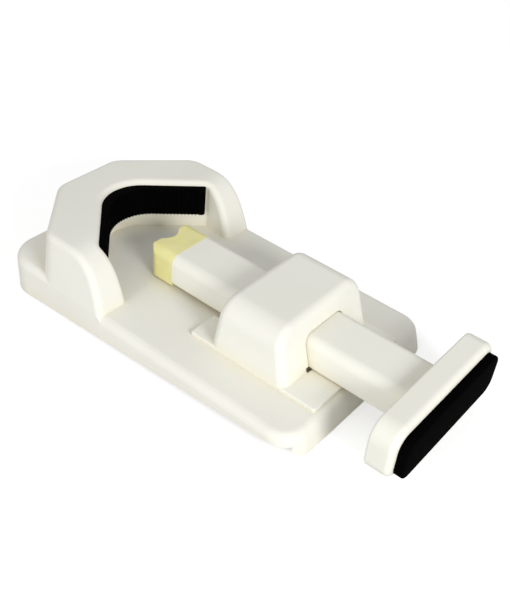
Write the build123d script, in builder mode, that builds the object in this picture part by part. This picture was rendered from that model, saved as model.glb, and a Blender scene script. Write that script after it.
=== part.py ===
from build123d import *
from math import atan, cos, degrees, radians, sin, sqrt, tan
import os

os.makedirs("parts", exist_ok=True)

# One-handed jar and bottle clamp.  The base stands on a worktop with its front lip
# over the edge.  A ram slides in a guide and presses a jar into a V-shaped jaw when
# the user leans on the plate.
#
# Frame: X runs from the jaw to the user, Y is across, Z is up and square to the deck.
# The origin is the middle of the base's back edge, where the underside meets it.

# ---------------------------------------------------------------- driving sizes, mm
base_width = 140.0
base_length = 240.0
deck_z = 22.0                # top of the deck, which the jaw and the guide stand on
underside_slope = 0.0635     # rise of the underside per mm of length
lip_drop = 7.0               # how far the front lip hangs below the underside
lip_thickness = 5.5
lip_end_in = 3.5             # lip's slanting ends in from the sides, at the underside
lip_flat_in = 9.0            # and at the lip's bottom
front_lean_in = 5.0          # the front face leans back by this much, up to the deck
wall = 3.0                   # moulded wall of the base and of the guide
rib = 2.0
back_corner_r = 22.0
front_corner_r = 16.0
deck_edge_r = 5.0
ledge_rise = 3.5             # the two corner ledges behind the jaw, above the deck
ledge_edge_r = 4.5

jaw_height = 35.0            # above the deck
jaw_back_half = 26.0         # half the width of the jaw's straight back
jaw_side_x = 39.5            # where the jaw's slanting back reaches the base's sides
jaw_corner_r = 18.0
arm_front_x = 91.0           # front of the jaw's two arms, at the deck
arm_thickness = 21.0         # arm at the end of the V
arm_draw_in = 2.5            # the mouth's sides draw in this much, up to the arm's front
arm_fall = 31.0              # length over which the arms fall away to the deck
jaw_apex_x = 20.0            # where the two V faces would meet
jaw_apex_r = 26.0
jaw_draft = 6.0              # degrees, outside of the jaw
jaw_edge_r = 4.0

strip_height = 20.0
strip_top_gap = 3.0          # strip's top below the top of the jaw
strip_end_gap = 0.92         # strip's end to the end of the V, across
strip_depth = 6.7            # V of the jaw to V of the strip, along X
strip_inner_r = 28.0
groove_pitch = 2.4
groove_r = 0.9
groove_end_gap = 4.0         # smooth end of the strip

guide_length = 56.5
guide_side = 24.0            # side of the ram to the guide's side, at the deck
guide_over_ram = 12.0        # top of the ram to the guide's top
guide_side_draft = 5.0       # degrees
guide_front_lean = 16.0      # degrees
guide_shoulder_r = 14.0
flange_thickness = 2.5
flange_front_gap = 8.5       # flange to the base's front edge
flange_front_shown = 21.0    # flange in front of the guide
flange_back_shown = 15.0     # flange behind the guide
sleeve_wall = 4.5
relief_side = 2.8            # clear space under the ram, past each side of it
relief_rise = 1.5            # and up beside it
sill = 0.5                   # flange left standing in front of that space

ram_width = 36.0
ram_height = 20.5
ram_wall = 3.0
ram_top_r = 6.0
ram_bottom_r = 2.0
tip_length = 20.0
tip_notch = 7.0
tip_lobe_flat = 8.5         # tip's side to the start of its notch
tip_lobe_r = 7.0             # outside of a lobe
tip_toe_r = 5.0              # rounding of the tip's lower front edge
tip_brow_r = 1.5             # and of its upper front edge
tip_drop = 2.0               # the tip hangs this far below the ram
plug_length = 10.0
plate_thickness = 16.0
plate_width = 106.0
plate_below = 7.0            # plate below the ram
plate_above = 6.5            # plate above the ram
socket_depth = 6.0
pad_thickness = 6.0
pad_side_margin = 4.0        # plate showing past each end of the pad
pad_bottom_margin = 1.5
pad_top_margin = 4.5

# ---------------------------------------------------------------- fits and travel, mm
running_clearance = 0.4      # guide tunnel to ram, each side and on top
sole_clearance = 0.5         # flange to the underside of the ram
tip_proud = 0.2              # soft tip stands this far outside the ram's section
clamp_travel = 29.0          # ram forward of the drawn position
release_travel = 50.0        # ram back from the drawn position
plate_stop_gap = 1.4         # plate to the base's front edge, fully clamped
ram_shown = 3.5              # ram left behind the guide, fully released
stop_r = 2.0
slot_clearance = 0.4

screw_r = 1.6
screw_head_r = 3.6
screw_head_height = 2.4
head_clearance = 0.3
guide_screw_length = 15.0
guide_screw_in = 10.5        # guide screws in from the guide's sides
guide_screw_back = 11.0      # and from its back
guide_screw_front = 21.5     # and from its front
stop_to_screw = 7.0          # stop screw behind the front pair
plate_screw_in = 9.0         # plate screws in from the ram's sides
plate_screw_length = 22.0
plate_screw_sink = 0.2       # heads below the face of the plate
hole_past_tip = 1.8          # pilot hole past the tip of a screw
grip_end_in = 18.0           # grip strips in from the base's sides
grip_width = 12.0
grip_thickness = 3.0
grip_proud = 1.0
grip_back_x = 32.0
grip_front_in = 35.0         # front grip strip behind the base's front edge

# ---------------------------------------------------------------- derived values
half_width = base_width / 2
slope_angle = atan(underside_slope)
underside = Plane(
    origin=(0, 0, 0),
    x_dir=(cos(slope_angle), 0, sin(slope_angle)),
    z_dir=(-sin(slope_angle), 0, cos(slope_angle)),
)
lip_back_x = base_length - lip_thickness
lip_bottom_z = underside_slope * base_length - lip_drop
front_lean = front_lean_in / (deck_z - lip_bottom_z)
core_front_x = base_length - front_lean_in - wall
deck_bottom_z = deck_z - wall
foot_z = -10.0               # the base is moulded down to here and then trimmed

jaw_top_z = deck_z + jaw_height
arm_inner_y = half_width - arm_thickness
mouth_side_x = jaw_apex_x + arm_inner_y
fall_x = arm_front_x - arm_fall
strip_bottom_z = jaw_top_z - strip_top_gap - strip_height
strip_apex_x = jaw_apex_x + strip_depth

flange_front_x = base_length - flange_front_gap
guide_front_x = flange_front_x - flange_front_shown
guide_back_x = guide_front_x - guide_length
flange_back_x = guide_back_x - flange_back_shown
flange_top_z = deck_z + flange_thickness

ram_bottom_z = flange_top_z + sole_clearance
ram_top_z = ram_bottom_z + ram_height
ram_mid_z = (ram_bottom_z + ram_top_z) / 2
ram_back_x = guide_back_x - release_travel - ram_shown
tip_front_x = ram_back_x - tip_length
guide_width = ram_width + 2 * guide_side
guide_top_z = ram_top_z + guide_over_ram
relief_half = ram_width / 2 + relief_side
relief_top_z = ram_bottom_z + relief_rise

plate_x = base_length + clamp_travel + plate_stop_gap
plate_front_x = plate_x + plate_thickness
plate_bottom_z = ram_bottom_z - plate_below
plate_top_z = ram_top_z + plate_above
plate_mid_z = (plate_top_z + plate_bottom_z) / 2
pad_bottom_z = plate_bottom_z + pad_bottom_margin
pad_top_z = plate_top_z - pad_top_margin
ram_front_x = plate_x + socket_depth
plate_screw_y = ram_width / 2 - plate_screw_in
plate_hole_end_x = plate_front_x - plate_screw_sink - plate_screw_length - hole_past_tip

guide_screw_y = guide_width / 2 - guide_screw_in
guide_screw_back_x = guide_back_x + guide_screw_back
guide_screw_front_x = guide_front_x - guide_screw_front
guide_screw_spots = [
    (guide_screw_back_x, guide_screw_y),
    (guide_screw_back_x, -guide_screw_y),
    (guide_screw_front_x, guide_screw_y),
    (guide_screw_front_x, -guide_screw_y),
]
stop_x = guide_screw_front_x - stop_to_screw
grip_length = base_width - 2 * grip_end_in
grip_front_x = base_length - grip_front_in

# Ribs pass outside the screws, and each side of the grip strips' seats.
rib_rows_y = [s * y for s in (-1, 1) for y in (14.0, guide_screw_y + 8.5)]
rib_first_x = grip_back_x + 18
rib_step = (guide_back_x - 4 - rib_first_x) / 4
rib_columns_x = [grip_back_x - 18]
rib_columns_x += [rib_first_x + rib_step * i for i in range(5)]
rib_columns_x += [guide_screw_back_x + 9.5, guide_screw_front_x + 6.8, grip_front_x + 16]


def jaw_form(inset):
    """Jaw block, grown inwards by inset: 0 gives its outside, a wall its inside."""
    with BuildPart() as form:
        with BuildSketch(Plane.XY.offset(deck_z)) as plan:
            with BuildLine():
                Polyline(
                    (0, -jaw_back_half),
                    (jaw_side_x, -half_width),
                    (arm_front_x, -half_width),
                    (arm_front_x, half_width),
                    (jaw_side_x, half_width),
                    (0, jaw_back_half),
                    close=True,
                )
            make_face()
            fillet(plan.vertices().filter_by(lambda v: v.X < arm_front_x - 1), jaw_corner_r)
            if inset > 0:
                offset(amount=-inset, mode=Mode.REPLACE)
        extrude(amount=jaw_top_z - inset - deck_z, taper=jaw_draft)
        extrude(plan.sketch, amount=foot_z - deck_z)
        # The arms fall away to the deck in one convex sweep.
        with BuildSketch(Plane.XZ):
            with BuildLine():
                Spline(
                    (fall_x - inset, jaw_top_z - inset),
                    (arm_front_x - 19 - inset, jaw_top_z - 2.2 - inset),
                    (arm_front_x - 11 - inset, jaw_top_z - 8.8 - inset),
                    (arm_front_x - 4.8 - inset, jaw_top_z - 20 - inset),
                    (arm_front_x - inset, deck_z),
                    (arm_front_x + 2.5 - inset, deck_z - 12),
                    tangents=[(1, 0), (0.22, -1)],
                )
                Polyline(
                    (arm_front_x + 2.5 - inset, deck_z - 12),
                    (arm_front_x + 2.5 - inset, foot_z - 1),
                    (arm_front_x + 20, foot_z - 1),
                    (arm_front_x + 20, jaw_top_z + 10),
                    (fall_x - inset, jaw_top_z + 10),
                    (fall_x - inset, jaw_top_z - inset),
                )
            make_face()
        extrude(amount=half_width + 5, both=True, mode=Mode.SUBTRACT)
        # The V-shaped mouth, whose sides draw together a little past the V.
        mouth_front_x = arm_front_x + 10
        draw_in = arm_draw_in / (arm_front_x - mouth_side_x)
        mouth_front_y = arm_inner_y - draw_in * (mouth_front_x - mouth_side_x)
        with BuildSketch(Plane.XY.offset(foot_z - 1)) as mouth:
            with BuildLine():
                Polyline(
                    (jaw_apex_x, 0),
                    (mouth_side_x, -arm_inner_y),
                    (mouth_front_x, -mouth_front_y),
                    (mouth_front_x, mouth_front_y),
                    (mouth_side_x, arm_inner_y),
                    close=True,
                )
            make_face()
            fillet(mouth.vertices().filter_by(lambda v: abs(v.X - jaw_apex_x) < 0.1), jaw_apex_r)
            fillet(mouth.vertices().filter_by(lambda v: abs(v.X - mouth_side_x) < 0.1), 3)
            if inset > 0:
                offset(amount=inset, mode=Mode.REPLACE)
        extrude(amount=jaw_top_z - foot_z + 5, mode=Mode.SUBTRACT)
        if inset == 0:
            rim = form.edges().filter_by(
                lambda e: e.bounding_box().min.Z > jaw_top_z - 0.1
                and e.bounding_box().size.X + e.bounding_box().size.Y > 0.5
                and abs(e.center().X - fall_x) > 0.1
            )
            fall = form.edges().filter_by(
                lambda e: e.geom_type == GeomType.BSPLINE and e.bounding_box().max.Z > deck_z + 1
            )
            fillet(rim + fall, jaw_edge_r)
    return form.part


def slab_form(top_z, edge_r):
    """Base outline up to top_z, with a leaning front face and a rounded top edge."""
    with BuildPart() as form:
        for z in (foot_z, top_z):
            front_x = base_length - front_lean * (z - lip_bottom_z)
            with BuildSketch(Plane.XY.offset(z)) as plan:
                with Locations((front_x / 2, 0)):
                    Rectangle(front_x, base_width)
                fillet(plan.vertices().filter_by(lambda v: v.X < 1), back_corner_r)
                fillet(plan.vertices().filter_by(lambda v: v.X > front_x - 1), front_corner_r)
        loft(ruled=True)
        fillet(form.edges().filter_by(lambda e: e.center().Z > top_z - 0.1), edge_r)
    return form.part


# ---------------------------------------------------------------- base shell
# One white moulding: a deck with soft edges, the V jaw, and a lip along the front.
# It is hollow and open underneath, with ribs.
with BuildPart() as corner_ledges:
    add(slab_form(deck_z + ledge_rise, ledge_edge_r))
    split(bisect_by=Plane.YZ.offset(jaw_side_x + 5.5), keep=Keep.BOTTOM)
    with BuildSketch(Plane.XY.offset(deck_z)):
        with Locations((jaw_apex_x + arm_inner_y / 2, 0)):
            Rectangle(arm_inner_y, 2 * arm_inner_y)
    extrude(amount=2 * ledge_rise, mode=Mode.SUBTRACT)

with BuildPart() as base_shell:
    add(slab_form(deck_z, deck_edge_r))
    add(corner_ledges.part)
    add(jaw_form(0))
    # Inside of the deck, up to the front wall.
    with BuildSketch(Plane.XY.offset(foot_z)) as core_plan:
        with Locations(((wall + core_front_x) / 2, 0)):
            Rectangle(core_front_x - wall, base_width - 2 * wall)
        fillet(core_plan.vertices().filter_by(lambda v: v.X < wall + 1), back_corner_r - wall)
        fillet(core_plan.vertices().filter_by(lambda v: v.X > wall + 1), front_corner_r - wall)
    extrude(amount=deck_bottom_z - foot_z, mode=Mode.SUBTRACT)
    add(jaw_form(wall), mode=Mode.SUBTRACT)
    # Ribs under the deck.
    with BuildSketch(Plane.XY.offset(foot_z)):
        with Locations(*[((wall + core_front_x) / 2, y) for y in rib_rows_y]):
            Rectangle(core_front_x - wall + 1, rib)
        with Locations(*[(x, 0) for x in rib_columns_x]):
            Rectangle(rib, base_width - 2 * wall)
    extrude(amount=deck_bottom_z - foot_z + 0.5)
    # Room for the screw heads, where they come near a rib.
    with BuildSketch(Plane.XY.offset(foot_z)):
        with Locations(*guide_screw_spots, (stop_x, 0)):
            Circle(screw_head_r + head_clearance)
    extrude(amount=deck_bottom_z - foot_z, mode=Mode.SUBTRACT)
    # Seats for the two rubber grip strips.
    for grip_x in (grip_back_x, grip_front_x):
        with BuildSketch(underside.offset(0)):
            with Locations((grip_x, 0)):
                Rectangle(grip_width + 4, grip_length + 4)
        extrude(amount=4.5)
        with BuildSketch(underside.offset(0)):
            with Locations((grip_x, 0)):
                Rectangle(grip_width, grip_length)
        extrude(amount=grip_thickness - grip_proud, mode=Mode.SUBTRACT)
    # Trim to the sloping underside, and to the bottom of the lip.
    with BuildSketch(Plane.XZ):
        with BuildLine():
            Polyline(
                (-5, foot_z - 5),
                (-5, -5 * underside_slope),
                (lip_back_x, lip_back_x * underside_slope),
                (lip_back_x, lip_bottom_z),
                (base_length + 10, lip_bottom_z),
                (base_length + 10, foot_z - 5),
                close=True,
            )
        make_face()
    extrude(amount=half_width + 5, both=True, mode=Mode.SUBTRACT)
    # Slant the lip's two ends.
    with BuildSketch(Plane.YZ.offset(lip_back_x)):
        for side in (-1, 1):
            with BuildLine():
                Polyline(
                    (side * (half_width - lip_flat_in), foot_z),
                    (side * (half_width - lip_flat_in), lip_bottom_z),
                    (side * (half_width - lip_end_in), lip_back_x * underside_slope),
                    (side * (half_width + 5), lip_back_x * underside_slope),
                    (side * (half_width + 5), foot_z),
                    close=True,
                )
            make_face()
    extrude(amount=lip_thickness + 10, mode=Mode.SUBTRACT)
    # Holes for the guide screws and for the stop screw.
    with BuildSketch(Plane.XY.offset(deck_bottom_z - 1)):
        with Locations(*guide_screw_spots):
            Circle(screw_r + 0.3)
        with Locations((stop_x, 0)):
            Circle(stop_r)
    extrude(amount=wall + 2, mode=Mode.SUBTRACT)
base_shell.part.label = "base_shell"
export_step(base_shell.part, "parts/base_shell.step")

# ---------------------------------------------------------------- jaw strip
# Ridged black rubber, following the V, fatter in the middle of the bend.
with BuildPart() as jaw_strip:
    end = arm_inner_y - strip_end_gap
    inset = strip_depth / 2
    straight = strip_inner_r / sqrt(2)
    face_length = (end - inset) * sqrt(2)
    bend_x = strip_apex_x + strip_inner_r * sqrt(2)
    with BuildSketch(Plane.XY.offset(strip_bottom_z)) as strip_plan:
        with BuildLine():
            Polyline(
                (jaw_apex_x, 0),
                (jaw_apex_x + end, -end),
                (jaw_apex_x + end + inset, -end + inset),
                (strip_apex_x, 0),
                (jaw_apex_x + end + inset, end - inset),
                (jaw_apex_x + end, end),
                close=True,
            )
        make_face()
        fillet(strip_plan.vertices().filter_by(lambda v: v.X < strip_apex_x - 1), jaw_apex_r)
        fillet(
            strip_plan.vertices().filter_by(
                lambda v: abs(v.X - strip_apex_x) < 0.1 and abs(v.Y) < 0.1
            ),
            strip_inner_r,
        )
        fillet(strip_plan.vertices().filter_by(lambda v: abs(abs(v.Y) - end) < 0.1), 1)
        fillet(strip_plan.vertices().filter_by(lambda v: abs(abs(v.Y) - end + inset) < 0.1), 2.5)
        # Grooves between the ridges: along both arms, then round the bend.
        arm_grooves = int((face_length - strip_inner_r - groove_end_gap) / groove_pitch)
        for side in (-1, 1):
            with Locations(
                *[
                    (strip_apex_x + straight + s / sqrt(2), side * (straight + s / sqrt(2)))
                    for s in [groove_pitch * (i + 0.5) for i in range(arm_grooves)]
                ]
            ):
                Circle(groove_r, mode=Mode.SUBTRACT)
        bend_grooves = round(45 / degrees(groove_pitch / strip_inner_r) - 0.5)
        bend_step = 45 / (bend_grooves + 0.5)
        with Locations(
            *[
                (
                    bend_x - strip_inner_r * cos(radians(bend_step * i)),
                    strip_inner_r * sin(radians(bend_step * i)),
                )
                for i in range(-bend_grooves, bend_grooves + 1)
            ]
        ):
            Circle(groove_r, mode=Mode.SUBTRACT)
    extrude(amount=strip_height)
jaw_strip.part.label = "jaw_strip"
export_step(jaw_strip.part, "parts/jaw_strip.step")

# ---------------------------------------------------------------- guide housing
# Top-hat moulding with a thin flange.  Its body is hollow and open underneath, with
# a sleeve for the ram and four screw bosses.
def hat_form(inset):
    """Body of the guide, grown inwards by inset."""
    side_in = (guide_top_z - deck_z) * tan(radians(guide_side_draft))
    front_in = (guide_top_z - deck_z) * tan(radians(guide_front_lean))
    with BuildPart() as form:
        with BuildSketch(Plane.YZ.offset(guide_back_x + inset)) as hat:
            with BuildLine():
                Polyline(
                    (-guide_width / 2, deck_z),
                    (guide_width / 2, deck_z),
                    (guide_width / 2 - side_in, guide_top_z),
                    (-guide_width / 2 + side_in, guide_top_z),
                    close=True,
                )
            make_face()
            fillet(hat.vertices().group_by(Axis.Y)[-1], guide_shoulder_r)
            if inset > 0:
                offset(amount=-inset, mode=Mode.REPLACE)
                with Locations((0, deck_z + inset / 2)):
                    Rectangle(guide_width - 2 * inset, inset + 2)
        extrude(amount=guide_front_x - guide_back_x - 2 * inset)
        with BuildSketch(Plane.XZ):
            with BuildLine():
                Polyline(
                    (guide_back_x + inset, deck_z),
                    (guide_back_x + inset + side_in, guide_top_z),
                    (guide_back_x + inset + side_in, guide_top_z + 5),
                    (guide_back_x - 5, guide_top_z + 5),
                    (guide_back_x - 5, deck_z),
                    close=True,
                )
            make_face()
            with BuildLine():
                Polyline(
                    (guide_front_x - inset, deck_z),
                    (guide_front_x - inset - front_in, guide_top_z),
                    (guide_front_x - inset - front_in, guide_top_z + 5),
                    (guide_front_x + 5, guide_top_z + 5),
                    (guide_front_x + 5, deck_z),
                    close=True,
                )
            make_face()
        extrude(amount=guide_width, both=True, mode=Mode.SUBTRACT)
        if inset == 0:
            front_rim = form.faces().sort_by(Axis.X)[-1].edges()
            fillet(front_rim.filter_by(lambda e: e.center().Z > deck_z + 0.1), 5.5)
            back_rim = form.faces().sort_by(Axis.X)[0].edges()
            fillet(back_rim.filter_by(lambda e: e.center().Z > deck_z + 0.1), 6)
    return form.part


with BuildPart() as guide_core:
    add(hat_form(wall))
    sleeve_width = ram_width + 2 * (running_clearance + sleeve_wall)
    sleeve_top_z = ram_top_z + running_clearance + sleeve_wall
    with BuildSketch(Plane.YZ.offset(guide_back_x - 5)):
        with Locations((0, (deck_z - 5 + sleeve_top_z) / 2)):
            Rectangle(sleeve_width, sleeve_top_z - deck_z + 5)
    extrude(amount=guide_front_x - guide_back_x + 10, mode=Mode.SUBTRACT)
    with BuildSketch(Plane.XY.offset(deck_z - 5)):
        with Locations(*guide_screw_spots):
            Circle(screw_r + 2.6)
    extrude(amount=guide_top_z, mode=Mode.SUBTRACT)

with BuildPart() as guide_housing:
    with BuildSketch(Plane.XY.offset(deck_z)) as flange_plan:
        with Locations(((flange_back_x + flange_front_x) / 2, 0)):
            Rectangle(flange_front_x - flange_back_x, guide_width)
        fillet(flange_plan.vertices(), 2)
    extrude(amount=flange_thickness)
    fillet(guide_housing.edges().group_by(Axis.Z)[-1], 1)
    add(hat_form(0))
    add(guide_core.part, mode=Mode.SUBTRACT)
    # Tunnel for the ram, standing on the flange.
    tunnel_top_z = ram_top_z + running_clearance
    with BuildSketch(Plane.YZ.offset(guide_back_x - 5)) as tunnel:
        with Locations((0, (flange_top_z + tunnel_top_z) / 2)):
            Rectangle(ram_width + 2 * running_clearance, tunnel_top_z - flange_top_z)
        fillet(tunnel.vertices().group_by(Axis.Y)[-1], ram_top_r)
    extrude(amount=guide_front_x - guide_back_x + 10, mode=Mode.SUBTRACT)
    # Clear space under the ram, down to the deck, open at the back for the soft tip.
    with BuildSketch(Plane.YZ.offset(flange_back_x - 1)):
        with Locations((0, (deck_z - 1 + relief_top_z) / 2)):
            Rectangle(2 * relief_half, relief_top_z - deck_z + 1)
    extrude(amount=guide_front_x + sill - flange_back_x + 1, mode=Mode.SUBTRACT)
    # Pilot holes for the four screws.
    with BuildSketch(Plane.XY.offset(deck_z - 1)):
        with Locations(*guide_screw_spots):
            Circle(screw_r)
    extrude(amount=1 - wall + guide_screw_length + hole_past_tip, mode=Mode.SUBTRACT)
guide_housing.part.label = "guide_housing"
export_step(guide_housing.part, "parts/guide_housing.step")

# ---------------------------------------------------------------- screws in the base
# Four screws come up through the deck into the guide's bosses.
for number, (screw_x, screw_y) in enumerate(guide_screw_spots, start=1):
    with BuildPart() as guide_screw:
        with BuildSketch(Plane.XY.offset(deck_bottom_z - screw_head_height)):
            with Locations((screw_x, screw_y)):
                Circle(screw_head_r)
        extrude(amount=screw_head_height)
        fillet(guide_screw.edges().group_by(Axis.Z)[0], 1)
        with BuildSketch(Plane.XY.offset(deck_bottom_z)):
            with Locations((screw_x, screw_y)):
                Circle(screw_r)
        extrude(amount=guide_screw_length)
        with BuildSketch(Plane.XY.offset(deck_bottom_z - screw_head_height)):
            with Locations((screw_x, screw_y)):
                Rectangle(3.6, 0.9)
                Rectangle(0.9, 3.6)
        extrude(amount=1.3, mode=Mode.SUBTRACT)
    guide_screw.part.label = f"guide_screw_{number}"
    export_step(guide_screw.part, f"parts/guide_screw_{number}.step")

# The stop screw stands up into the slot in the ram and ends its travel.
with BuildPart() as stop_screw:
    with BuildSketch(Plane.XY.offset(deck_bottom_z - screw_head_height)):
        with Locations((stop_x, 0)):
            Circle(screw_head_r)
    extrude(amount=screw_head_height)
    fillet(stop_screw.edges().group_by(Axis.Z)[0], 1)
    with BuildSketch(Plane.XY.offset(deck_bottom_z)):
        with Locations((stop_x, 0)):
            Circle(stop_r)
    extrude(amount=ram_bottom_z + ram_wall + 1.5 - deck_bottom_z)
    with BuildSketch(Plane.XY.offset(deck_bottom_z - screw_head_height)):
        with Locations((stop_x, 0)):
            Rectangle(3.6, 0.9)
            Rectangle(0.9, 3.6)
    extrude(amount=1.3, mode=Mode.SUBTRACT)
stop_screw.part.label = "stop_screw"
export_step(stop_screw.part, "parts/stop_screw.step")

# ---------------------------------------------------------------- grip strips
# Rubber strips pressed into seats in the underside; they stand a little proud of it.
for grip_name, grip_x in (("grip_strip_back", grip_back_x), ("grip_strip_front", grip_front_x)):
    with BuildPart() as grip_strip:
        with BuildSketch(underside.offset(-grip_proud)):
            with Locations((grip_x, 0)):
                Rectangle(grip_width, grip_length)
        extrude(amount=grip_thickness)
    grip_strip.part.label = grip_name
    export_step(grip_strip.part, f"parts/{grip_name}.step")

# ---------------------------------------------------------------- ram
# Hollow bar, open at the jaw end and solid where the plate screws bite.
with BuildPart() as ram:
    with BuildSketch(Plane.YZ.offset(ram_back_x)) as ram_profile:
        with Locations((0, ram_mid_z)):
            Rectangle(ram_width, ram_height)
        fillet(ram_profile.vertices().group_by(Axis.Y)[-1], ram_top_r)
        fillet(ram_profile.vertices().group_by(Axis.Y)[0], ram_bottom_r)
    extrude(amount=ram_front_x - ram_back_x)
    with BuildSketch(Plane.YZ.offset(ram_back_x)) as ram_bore:
        with Locations((0, ram_mid_z)):
            Rectangle(ram_width - 2 * ram_wall, ram_height - 2 * ram_wall)
        fillet(ram_bore.vertices(), 2)
    extrude(amount=plate_hole_end_x - ram_wall - 1 - ram_back_x, mode=Mode.SUBTRACT)
    slot_back_x = stop_x - release_travel - stop_r - slot_clearance
    slot_front_x = stop_x + clamp_travel + stop_r + slot_clearance
    with BuildSketch(Plane.XY.offset(ram_bottom_z - 1)):
        with Locations(((slot_back_x + slot_front_x) / 2, 0)):
            SlotOverall(slot_front_x - slot_back_x, 2 * (stop_r + slot_clearance))
    extrude(amount=ram_wall + 2, mode=Mode.SUBTRACT)
    with BuildSketch(Plane.YZ.offset(ram_front_x)):
        with Locations((-plate_screw_y, ram_mid_z), (plate_screw_y, ram_mid_z)):
            Circle(screw_r)
    extrude(amount=plate_hole_end_x - ram_front_x, mode=Mode.SUBTRACT)
ram.part.label = "ram"
export_step(ram.part, "parts/ram.step")

# ---------------------------------------------------------------- ram tip
# Soft cap with two lobes and a shallow notch that centres the jar.  It hangs a little
# below the ram.
with BuildPart() as ram_tip:
    tip_half = ram_width / 2 + tip_proud
    tip_bottom_z = ram_bottom_z - tip_drop
    tip_top_z = ram_top_z + tip_proud
    with BuildSketch(Plane.YZ.offset(tip_front_x)) as tip_profile:
        with Locations((0, (tip_bottom_z + tip_top_z) / 2)):
            Rectangle(2 * tip_half, tip_top_z - tip_bottom_z)
        fillet(tip_profile.vertices().group_by(Axis.Y)[-1], ram_top_r)
        fillet(tip_profile.vertices().group_by(Axis.Y)[0], ram_bottom_r)
    extrude(amount=tip_length)
    with BuildSketch(Plane.XY.offset(tip_bottom_z - 5)) as tip_plan:
        with BuildLine():
            Polyline(
                (ram_back_x, -tip_half),
                (tip_front_x, -tip_half),
                (tip_front_x, -tip_half + tip_lobe_flat),
                (tip_front_x + tip_notch, 0),
                (tip_front_x, tip_half - tip_lobe_flat),
                (tip_front_x, tip_half),
                (ram_back_x, tip_half),
                close=True,
            )
        make_face()
        lobe_corners = tip_plan.vertices().filter_by(lambda v: abs(v.X - tip_front_x) < 0.1)
        fillet(lobe_corners.filter_by(lambda v: abs(v.Y) > tip_half - 0.1), tip_lobe_r)
        fillet(lobe_corners.filter_by(lambda v: abs(v.Y) < tip_half - 0.1), 4)
        fillet(tip_plan.vertices().filter_by(lambda v: abs(v.Y) < 0.1), 8)
    extrude(amount=tip_top_z - tip_bottom_z + 10, mode=Mode.INTERSECT)
    with BuildSketch(Plane.XZ) as tip_side:
        with Locations(((tip_front_x + ram_back_x) / 2, (tip_bottom_z + tip_top_z) / 2)):
            Rectangle(tip_length, tip_top_z - tip_bottom_z)
        front_corners = tip_side.vertices().filter_by(lambda v: abs(v.X - tip_front_x) < 0.1)
        fillet(front_corners.sort_by(Axis.Y)[0], tip_toe_r)
        top_corners = tip_side.vertices().group_by(Axis.Y)[-1]
        fillet(top_corners.sort_by(Axis.X)[0], tip_brow_r)
    extrude(amount=ram_width, both=True, mode=Mode.INTERSECT)
    with BuildSketch(Plane.YZ.offset(ram_back_x)) as tip_plug:
        with Locations((0, ram_mid_z)):
            Rectangle(ram_width - 2 * ram_wall, ram_height - 2 * ram_wall)
        fillet(tip_plug.vertices(), 2)
    extrude(amount=plug_length)
ram_tip.part.label = "ram_tip"
export_step(ram_tip.part, "parts/ram_tip.step")

# ---------------------------------------------------------------- push plate
with BuildPart() as push_plate:
    with BuildSketch(Plane.YZ.offset(plate_x)) as plate_profile:
        with Locations((0, plate_mid_z)):
            Rectangle(plate_width, plate_top_z - plate_bottom_z)
        fillet(plate_profile.vertices().group_by(Axis.Y)[-1], 12)
        fillet(plate_profile.vertices().group_by(Axis.Y)[0], 9)
    extrude(amount=plate_thickness)
    fillet(push_plate.faces().sort_by(Axis.X)[-1].edges(), 4)
    fillet(push_plate.faces().sort_by(Axis.X)[0].edges(), 1.5)
    with BuildSketch(Plane.YZ.offset(plate_x - 1)) as socket:
        with Locations((0, ram_mid_z)):
            Rectangle(ram_width, ram_height)
        fillet(socket.vertices().group_by(Axis.Y)[-1], ram_top_r)
        fillet(socket.vertices().group_by(Axis.Y)[0], ram_bottom_r)
    extrude(amount=ram_front_x - plate_x + 1, mode=Mode.SUBTRACT)
    with BuildSketch(Plane.YZ.offset(plate_front_x)):
        with Locations((-plate_screw_y, ram_mid_z), (plate_screw_y, ram_mid_z)):
            Circle(screw_r + 0.2)
    extrude(amount=-plate_thickness, mode=Mode.SUBTRACT)
    with BuildSketch(Plane.YZ.offset(plate_front_x)):
        with Locations((-plate_screw_y, ram_mid_z), (plate_screw_y, ram_mid_z)):
            Circle(screw_head_r + head_clearance)
    extrude(amount=-screw_head_height - plate_screw_sink, mode=Mode.SUBTRACT)
push_plate.part.label = "push_plate"
export_step(push_plate.part, "parts/push_plate.step")

# Two screws through the plate into the end of the ram, hidden by the pad.
for side_name, screw_y in (("left", -plate_screw_y), ("right", plate_screw_y)):
    head_x = plate_front_x - plate_screw_sink
    with BuildPart() as plate_screw:
        with BuildSketch(Plane.YZ.offset(head_x)):
            with Locations((screw_y, ram_mid_z)):
                Circle(screw_head_r)
        extrude(amount=-screw_head_height)
        with BuildSketch(Plane.YZ.offset(head_x - screw_head_height)):
            with Locations((screw_y, ram_mid_z)):
                Circle(screw_r)
        extrude(amount=screw_head_height - plate_screw_length)
        with BuildSketch(Plane.YZ.offset(head_x)):
            with Locations((screw_y, ram_mid_z)):
                Rectangle(3.6, 0.9)
                Rectangle(0.9, 3.6)
        extrude(amount=-1.3, mode=Mode.SUBTRACT)
    plate_screw.part.label = f"plate_screw_{side_name}"
    export_step(plate_screw.part, f"parts/plate_screw_{side_name}.step")

# ---------------------------------------------------------------- push pad
# Black foam pad glued to the face of the plate.
with BuildPart() as push_pad:
    with BuildSketch(Plane.YZ.offset(plate_front_x)) as pad_profile:
        with Locations((0, (pad_bottom_z + pad_top_z) / 2)):
            Rectangle(plate_width - 2 * pad_side_margin, pad_top_z - pad_bottom_z)
        fillet(pad_profile.vertices(), 8)
    extrude(amount=pad_thickness)
    fillet(push_pad.faces().sort_by(Axis.X)[-1].edges(), 1)
push_pad.part.label = "push_pad"
export_step(push_pad.part, "parts/push_pad.step")
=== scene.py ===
from math import cos, pi, radians, sin

import bmesh
import bpy
from mathutils import Matrix, Vector


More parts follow.
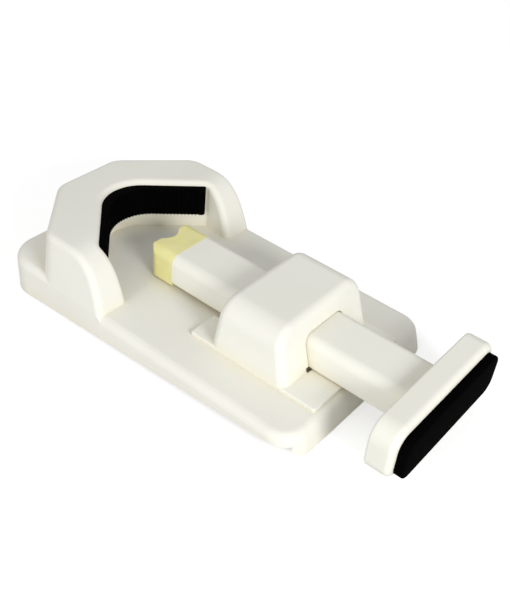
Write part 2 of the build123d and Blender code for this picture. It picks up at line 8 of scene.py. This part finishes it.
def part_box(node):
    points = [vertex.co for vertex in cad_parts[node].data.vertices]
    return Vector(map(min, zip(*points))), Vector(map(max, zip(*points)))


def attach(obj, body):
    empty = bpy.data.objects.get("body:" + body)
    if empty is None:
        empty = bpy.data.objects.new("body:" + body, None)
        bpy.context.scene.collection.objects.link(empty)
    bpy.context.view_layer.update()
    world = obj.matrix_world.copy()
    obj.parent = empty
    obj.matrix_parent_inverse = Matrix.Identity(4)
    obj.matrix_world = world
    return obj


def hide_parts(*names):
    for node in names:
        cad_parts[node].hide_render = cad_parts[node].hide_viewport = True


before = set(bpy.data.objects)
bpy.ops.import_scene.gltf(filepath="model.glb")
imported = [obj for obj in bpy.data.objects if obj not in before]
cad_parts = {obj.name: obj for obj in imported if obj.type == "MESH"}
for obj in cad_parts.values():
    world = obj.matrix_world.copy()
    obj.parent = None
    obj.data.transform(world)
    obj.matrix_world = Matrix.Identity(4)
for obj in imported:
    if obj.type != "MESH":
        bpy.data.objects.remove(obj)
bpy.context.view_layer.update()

MM = 0.001

# ------------------------------------------------------------------ node helpers


def new_material(name):
    """An empty node material with a Principled shader and an output, joined."""
    material = bpy.data.materials.new(name)
    material.use_nodes = True
    tree = material.node_tree
    tree.nodes.clear()
    output = tree.nodes.new("ShaderNodeOutputMaterial")
    shader = tree.nodes.new("ShaderNodeBsdfPrincipled")
    tree.links.new(shader.outputs["BSDF"], output.inputs["Surface"])
    return material, tree, shader


def object_coords(tree):
    """Object coordinates, which are metres in the part's own frame."""
    return tree.nodes.new("ShaderNodeTexCoord").outputs["Object"]


def noise(tree, coords, scale, detail=3.0, roughness=0.5):
    node = tree.nodes.new("ShaderNodeTexNoise")
    node.inputs["Scale"].default_value = scale
    node.inputs["Detail"].default_value = detail
    node.inputs["Roughness"].default_value = roughness
    tree.links.new(coords, node.inputs["Vector"])
    return node.outputs["Fac"]


def voronoi(tree, coords, scale):
    node = tree.nodes.new("ShaderNodeTexVoronoi")
    node.inputs["Scale"].default_value = scale
    tree.links.new(coords, node.inputs["Vector"])
    return node.outputs["Distance"]


def ramp(tree, factor, low, high, start=0.35, end=0.65):
    """Colours from low to high as factor goes from start to end."""
    node = tree.nodes.new("ShaderNodeValToRGB")
    node.color_ramp.elements[0].position = start
    node.color_ramp.elements[0].color = (*low, 1.0)
    node.color_ramp.elements[1].position = end
    node.color_ramp.elements[1].color = (*high, 1.0)
    tree.links.new(factor, node.inputs["Fac"])
    return node.outputs["Color"]


def to_range(tree, factor, low, high):
    node = tree.nodes.new("ShaderNodeMapRange")
    node.inputs["From Min"].default_value = 0.3
    node.inputs["From Max"].default_value = 0.7
    node.inputs["To Min"].default_value = low
    node.inputs["To Max"].default_value = high
    tree.links.new(factor, node.inputs["Value"])
    return node.outputs["Result"]


def bump(tree, shader, height, depth, strength=1.0, after=None):
    """Bump of depth metres on the shader, after another bump if one is given."""
    node = tree.nodes.new("ShaderNodeBump")
    node.inputs["Strength"].default_value = strength
    node.inputs["Distance"].default_value = depth
    tree.links.new(height, node.inputs["Height"])
    if after is not None:
        tree.links.new(after, node.inputs["Normal"])
    tree.links.new(node.outputs["Normal"], shader.inputs["Normal"])
    return node.outputs["Normal"]


# ------------------------------------------------------------------ materials


# Painted shade: a warm colour mixed in by ambient occlusion, standing in for the yellow shade and
# bounced light in hollows.
PAINTED_SHADE_COLOUR = (0.80, 0.745, 0.58, 1.0)
PAINTED_SHADE_REACH = 12 * MM
PAINTED_SHADE_SAMPLES = 8


def painted_crevice_shade(tree, tone):
    """Painted shade: warmer and yellower where two surfaces face each other closely, in place of
    light bounced in the hollows.
    """
    occlusion = tree.nodes.new("ShaderNodeAmbientOcclusion")
    occlusion.samples = PAINTED_SHADE_SAMPLES
    occlusion.inputs["Distance"].default_value = PAINTED_SHADE_REACH
    mix = tree.nodes.new("ShaderNodeMix")
    mix.data_type = "RGBA"
    mix.inputs["A"].default_value = PAINTED_SHADE_COLOUR
    tree.links.new(occlusion.outputs["AO"], mix.inputs["Factor"])
    tree.links.new(tone, mix.inputs["B"])
    return mix.outputs["Result"]


def white_plastic(name, low, high, roughness):
    """Matt white moulding: a fine spark-eroded grain, a faint change of tone, and painted warm
    shade in crevices.
    """
    material, tree, shader = new_material(name)
    coords = object_coords(tree)
    tone = ramp(tree, noise(tree, coords, 14.0, 2.0), low, high)
    # Painted shade: the warm crevice colour is mixed into the base colour here.
    tree.links.new(painted_crevice_shade(tree, tone), shader.inputs["Base Color"])
    grain = noise(tree, coords, 2600.0, 2.0, 0.6)
    rough = to_range(tree, grain, roughness - 0.05, roughness + 0.05)
    tree.links.new(rough, shader.inputs["Roughness"])
    shader.inputs["Specular IOR Level"].default_value = 0.25
    shader.inputs["Subsurface Weight"].default_value = 0.12
    shader.inputs["Subsurface Radius"].default_value = (0.004, 0.0035, 0.003)
    shader.inputs["Subsurface Scale"].default_value = 0.6
    swell = bump(tree, shader, noise(tree, coords, 30.0, 1.0), 0.0002, 0.12)
    bump(tree, shader, grain, 0.00004, 0.35, swell)
    return material


def black_rubber(name, tone, roughness, grain_scale, grain_depth):
    material, tree, shader = new_material(name)
    coords = object_coords(tree)
    low = (tone * 0.7, tone * 0.7, tone * 0.7)
    high = (tone * 1.3, tone * 1.3, tone * 1.3)
    tree.links.new(ramp(tree, noise(tree, coords, 90.0), low, high), shader.inputs["Base Color"])
    grain = noise(tree, coords, grain_scale, 3.0, 0.6)
    rough = to_range(tree, grain, roughness - 0.08, roughness + 0.08)
    tree.links.new(rough, shader.inputs["Roughness"])
    shader.inputs["Specular IOR Level"].default_value = 0.02
    bump(tree, shader, grain, grain_depth, 0.5)
    return material


def foam_rubber(name, tone):
    """Closed-cell foam: small cells, no gloss."""
    material, tree, shader = new_material(name)
    coords = object_coords(tree)
    cells = voronoi(tree, coords, 1100.0)
    low = (tone * 0.5, tone * 0.5, tone * 0.5)
    high = (tone * 1.4, tone * 1.4, tone * 1.4)
    tree.links.new(ramp(tree, cells, low, high, 0.1, 0.7), shader.inputs["Base Color"])
    tree.links.new(to_range(tree, cells, 0.82, 0.95), shader.inputs["Roughness"])
    shader.inputs["Specular IOR Level"].default_value = 0.01
    bump(tree, shader, cells, 0.0002, 0.5)
    return material


def soft_yellow(name):
    material, tree, shader = new_material(name)
    coords = object_coords(tree)
    tone = ramp(tree, noise(tree, coords, 60.0), (0.78, 0.735, 0.33), (0.84, 0.80, 0.39))
    tree.links.new(tone, shader.inputs["Base Color"])
    grain = noise(tree, coords, 1800.0, 2.0)
    tree.links.new(to_range(tree, grain, 0.48, 0.6), shader.inputs["Roughness"])
    shader.inputs["Specular IOR Level"].default_value = 0.3
    shader.inputs["Subsurface Weight"].default_value = 0.25
    shader.inputs["Subsurface Radius"].default_value = (0.005, 0.004, 0.0008)
    shader.inputs["Subsurface Scale"].default_value = 0.7
    bump(tree, shader, grain, 0.00005, 0.4)
    return material


def zinc_steel(name):
    material, tree, shader = new_material(name)
    coords = object_coords(tree)
    shader.inputs["Metallic"].default_value = 1.0
    tone = ramp(tree, noise(tree, coords, 400.0), (0.52, 0.52, 0.51), (0.68, 0.68, 0.66))
    tree.links.new(tone, shader.inputs["Base Color"])
    turned = noise(tree, coords, 2200.0, 4.0)
    tree.links.new(to_range(tree, turned, 0.22, 0.4), shader.inputs["Roughness"])
    bump(tree, shader, turned, 0.00002, 0.3)
    return material


WHITE_BASE = white_plastic("white_base", (0.815, 0.805, 0.73), (0.845, 0.836, 0.765), 0.60)
WHITE_GUIDE = white_plastic("white_guide", (0.82, 0.812, 0.735), (0.85, 0.842, 0.77), 0.56)
WHITE_RAM = white_plastic("white_ram", (0.825, 0.817, 0.735), (0.855, 0.848, 0.77), 0.56)
STRIP_RUBBER = black_rubber("strip_rubber", 0.001, 0.85, 1600.0, 0.00006)
GRIP_RUBBER = black_rubber("grip_rubber", 0.03, 0.85, 1200.0, 0.0001)
PAD_FOAM = foam_rubber("pad_foam", 0.0012)
YELLOW = soft_yellow("soft_yellow")
STEEL = zinc_steel("zinc_steel")

NODE_MATERIALS = {
    "base_shell": WHITE_BASE,
    "jaw_strip": STRIP_RUBBER,
    "guide_housing": WHITE_GUIDE,
    "grip_strip_back": GRIP_RUBBER,
    "grip_strip_front": GRIP_RUBBER,
    "ram": WHITE_RAM,
    "ram_tip": YELLOW,
    "push_plate": WHITE_RAM,
    "push_pad": PAD_FOAM,
}
for node_name, node_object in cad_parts.items():
    chosen = NODE_MATERIALS.get(node_name, STEEL)
    node_object.data.materials.clear()
    node_object.data.materials.append(chosen)

# ------------------------------------------------------------------ push pad
# The foam slab on the plate: soft edges and a faintly crowned face.


def rounded_rectangle(half_y, half_z, radius, per_corner=10):
    """Points of a rounded rectangle about the origin, in the YZ plane."""
    points = []
    for quarter in range(4):
        centre_y = (half_y - radius) * (1 if quarter in (0, 3) else -1)
        centre_z = (half_z - radius) * (1 if quarter in (0, 1) else -1)
        for step in range(per_corner + 1):
            angle = (quarter + step / per_corner) * pi / 2
            points.append((centre_y + radius * cos(angle), centre_z + radius * sin(angle)))
    return points


def foam_slab(name, low, high, corner, edge, crown):
    """A slab that fills the box, flat at the back and crowned towards +X."""
    middle_y = (low.y + high.y) / 2
    middle_z = (low.z + high.z) / 2
    half_y = (high.y - low.y) / 2
    half_z = (high.z - low.z) / 2
    depth = high.x - low.x
    # (how far in from the outline, how far forward)
    rings = [(0.0, 0.0), (0.0, depth - crown - edge)]
    for step in range(1, 6):
        angle = step / 5 * pi / 2
        rings.append((edge * (1 - cos(angle)), depth - crown - edge + edge * sin(angle)))
    for share in (0.25, 0.5, 0.75, 0.93):
        inward = edge + (half_z - edge) * share
        rings.append((inward, depth - crown * (1 - share) ** 2))
    mesh = bmesh.new()
    loops = []
    for inward, forward in rings:
        radius = max(corner - inward, 0.0004)
        outline = rounded_rectangle(half_y - inward, half_z - inward, min(radius, half_z - inward))
        x = low.x + forward
        loops.append([mesh.verts.new((x, middle_y + y, middle_z + z)) for y, z in outline])
    count = len(loops[0])
    for first, second in zip(loops, loops[1:]):
        for i in range(count):
            j = (i + 1) % count
            mesh.faces.new((first[i], first[j], second[j], second[i]))
    mesh.faces.new(list(reversed(loops[0])))
    mesh.faces.new(loops[-1])
    bmesh.ops.remove_doubles(mesh, verts=mesh.verts, dist=1e-6)
    bmesh.ops.recalc_face_normals(mesh, faces=mesh.faces)
    data = bpy.data.meshes.new(name)
    mesh.to_mesh(data)
    mesh.free()
    data.polygons.foreach_set("use_smooth", [True] * len(data.polygons))
    piece = bpy.data.objects.new(name, data)
    bpy.context.scene.collection.objects.link(piece)
    return piece


pad_low, pad_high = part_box("push_pad")
pad = foam_slab("foam_pad", pad_low, pad_high, corner=8 * MM, edge=1.2 * MM, crown=0.5 * MM)
pad.data.materials.append(PAD_FOAM)
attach(pad, "ram")
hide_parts("push_pad")

# ------------------------------------------------------------------ floor, light, camera
# The floor is the plane that the base's back edge and the front lip stand on.
base_low, base_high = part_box("base_shell")
LIP_HEIGHT = 8.24 * MM
floor_slope = LIP_HEIGHT / (base_high.x - base_low.x)
FLOOR_SIZE = 60.0
FLOOR_DROP = 0.3 * MM
FLOOR_GLOW = 0.53            # seen by the camera only
WORLD_STRENGTH = 0.57
LIGHT_SIZE = 0.45
LIGHT_TARGET = (0.13, 0.0, 0.02)


def make_floor():
    bpy.ops.mesh.primitive_plane_add(size=FLOOR_SIZE, location=(0.0, 0.0, -FLOOR_DROP))
    floor = bpy.context.object
    floor.name = "floor"
    floor.rotation_euler = (0.0, -floor_slope, 0.0)
    material, tree, shader = new_material("floor")
    coords = object_coords(tree)
    tone = ramp(tree, noise(tree, coords, 3.0), (0.70, 0.70, 0.70), (0.72, 0.72, 0.72))
    tree.links.new(tone, shader.inputs["Base Color"])
    shader.inputs["Roughness"].default_value = 0.9
    shader.inputs["Specular IOR Level"].default_value = 0.0
    shader.inputs["Emission Color"].default_value = (1.0, 1.0, 1.0, 1.0)
    path = tree.nodes.new("ShaderNodeLightPath")
    glow = tree.nodes.new("ShaderNodeMath")
    glow.operation = "MULTIPLY"
    glow.inputs[1].default_value = FLOOR_GLOW
    tree.links.new(path.outputs["Is Camera Ray"], glow.inputs[0])
    tree.links.new(glow.outputs["Value"], shader.inputs["Emission Strength"])
    floor.data.materials.append(material)


def soft_light(name, place, power):
    """A round soft light in watts, aimed at LIGHT_TARGET."""
    data = bpy.data.lights.new(name, "AREA")
    data.shape = "DISK"
    data.size = LIGHT_SIZE
    data.energy = power
    light = bpy.data.objects.new(name, data)
    bpy.context.scene.collection.objects.link(light)
    light.location = place
    aim = Vector(place) - Vector(LIGHT_TARGET)
    light.rotation_euler = aim.to_track_quat("Z", "Y").to_euler()


def make_world(strength):
    world = bpy.data.worlds.new("studio")
    bpy.context.scene.world = world
    world.use_nodes = True
    background = world.node_tree.nodes["Background"]
    background.inputs["Color"].default_value = (1.0, 1.0, 1.0, 1.0)
    background.inputs["Strength"].default_value = strength


make_floor()
make_world(WORLD_STRENGTH)
soft_light("key", (1.20, -0.40, 0.55), 8.4)
soft_light("side", (0.05, -1.00, 0.42), 2.7)
bpy.context.scene.view_settings.view_transform = "Standard"

CAMERA_PLACE = (0.39404, -0.331365, 0.36409)
CAMERA_AZIMUTH = radians(35.98)      # 0 looks along +Y
CAMERA_TILT = radians(90.0 - 38.99)
CAMERA_ROLL = radians(5.96)
camera_data = bpy.data.cameras.new("camera")
camera_data.sensor_width = 36.0
camera_data.lens = 51.86
camera = bpy.data.objects.new("camera", camera_data)
bpy.context.scene.collection.objects.link(camera)
camera.matrix_world = (
    Matrix.Translation(CAMERA_PLACE)
    @ Matrix.Rotation(CAMERA_AZIMUTH, 4, "Z")
    @ Matrix.Rotation(CAMERA_TILT, 4, "X")
    @ Matrix.Rotation(CAMERA_ROLL, 4, "Z")
)
bpy.context.scene.camera = camera
